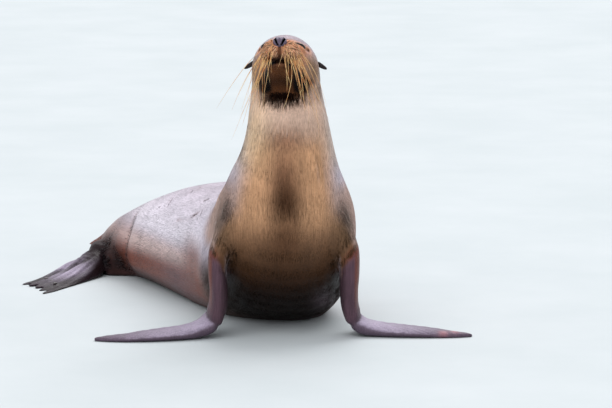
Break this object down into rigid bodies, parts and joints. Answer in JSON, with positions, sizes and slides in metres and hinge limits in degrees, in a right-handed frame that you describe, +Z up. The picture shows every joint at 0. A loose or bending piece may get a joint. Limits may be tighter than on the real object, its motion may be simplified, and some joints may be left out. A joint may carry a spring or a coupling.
{
  "type": "sea lion",
  "caption": "Life-size still model of a sea lion sitting up on its fore flippers, nose raised and eyes nearly closed, trunk swung back to its right, hind flippers spread on the floor.",
  "frame": {"origin": "middle of the floor outline, on the floor", "axes": "+Z up, -Y the way the chest and face look, +X the animal's left"},
  "size_m": [1.2458, 1.4882, 0.7995],
  "materials": {
    "coat": "short wet fur, sleek",
    "flipper": "bare wet skin, satin",
    "nose": "moist, satin",
    "eye": "wet, glossy",
    "nail": "horn, satin"
  },
  "bodies": {
    "root": {"head": "coat", "neck": "coat", "chest": "coat", "trunk": "coat", "rump": "coat", "tail": "coat", "lower_jaw": "coat", "nose_pad": "nose", "eye_right": "eye", "eye_left": "eye", "ear_right": "flipper", "ear_left": "flipper", "fore_arm_right": "flipper", "fore_flipper_right": "flipper", "fore_arm_left": "flipper", "fore_flipper_left": "flipper", "hind_leg_right": "flipper", "hind_flipper_right": "flipper", "hind_leg_left": "flipper", "hind_flipper_left": "flipper", "nail_right_1": "nail", "nail_right_2": "nail", "nail_right_3": "nail", "nail_left_1": "nail", "nail_left_2": "nail", "nail_left_3": "nail"}
  },
  "joints": []
}
